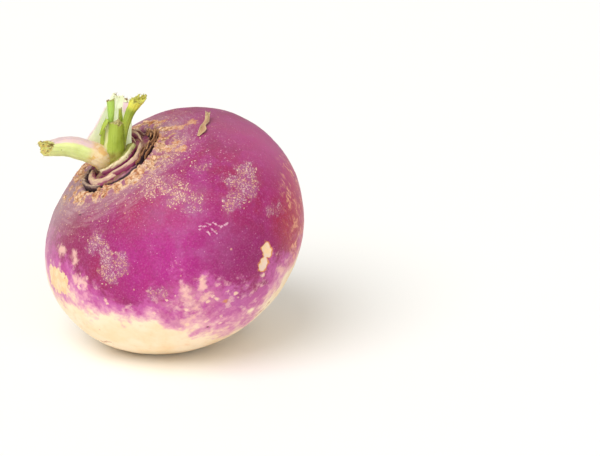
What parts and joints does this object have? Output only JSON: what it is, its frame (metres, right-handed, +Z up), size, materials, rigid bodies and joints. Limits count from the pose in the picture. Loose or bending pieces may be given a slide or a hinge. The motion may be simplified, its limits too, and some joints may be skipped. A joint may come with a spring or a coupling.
{
  "type": "purple-top turnip",
  "caption": "Purple-top turnip root lying tilted on a small flat spot, crown ringed with old leaf bases and broken leaf stalks.",
  "frame": {"origin": "middle of the small flat spot that the root rests on", "axes": "+Z up; the root's own axis leans 35.7 degrees from +Z towards 197.6 degrees from +X, so the crown faces up and towards -X and slightly -Y; -Y is the side it is seen from"},
  "size_m": [0.0867, 0.0917, 0.0863],
  "materials": {
    "skin": "smooth waxy root skin, magenta-purple on top and cream below, with corky tan specks",
    "pale_stalk": "moist, slightly see-through pale leaf stalk with a pink flush",
    "green_stalk": "moist yellow-green leaf stalk, ribbed lengthwise",
    "leaf_base": "cream-green old leaf base with purple edges",
    "dry_base": "dry, matt dark brown leaf base or sheath"
  },
  "bodies": {
    "root": {"root": "skin", "stalk_left": "pale_stalk", "stalk_front": "green_stalk", "stalk_right": "green_stalk", "heart_leaf": "green_stalk", "stalk_back": "pale_stalk", "leaf_base_inner": "leaf_base", "leaf_base_front": "leaf_base", "leaf_base_right": "leaf_base", "leaf_base_back": "leaf_base", "dry_base_left": "dry_base", "dry_base_right": "dry_base", "dry_base_back": "dry_base", "dry_flake": "dry_base"}
  },
  "joints": []
}
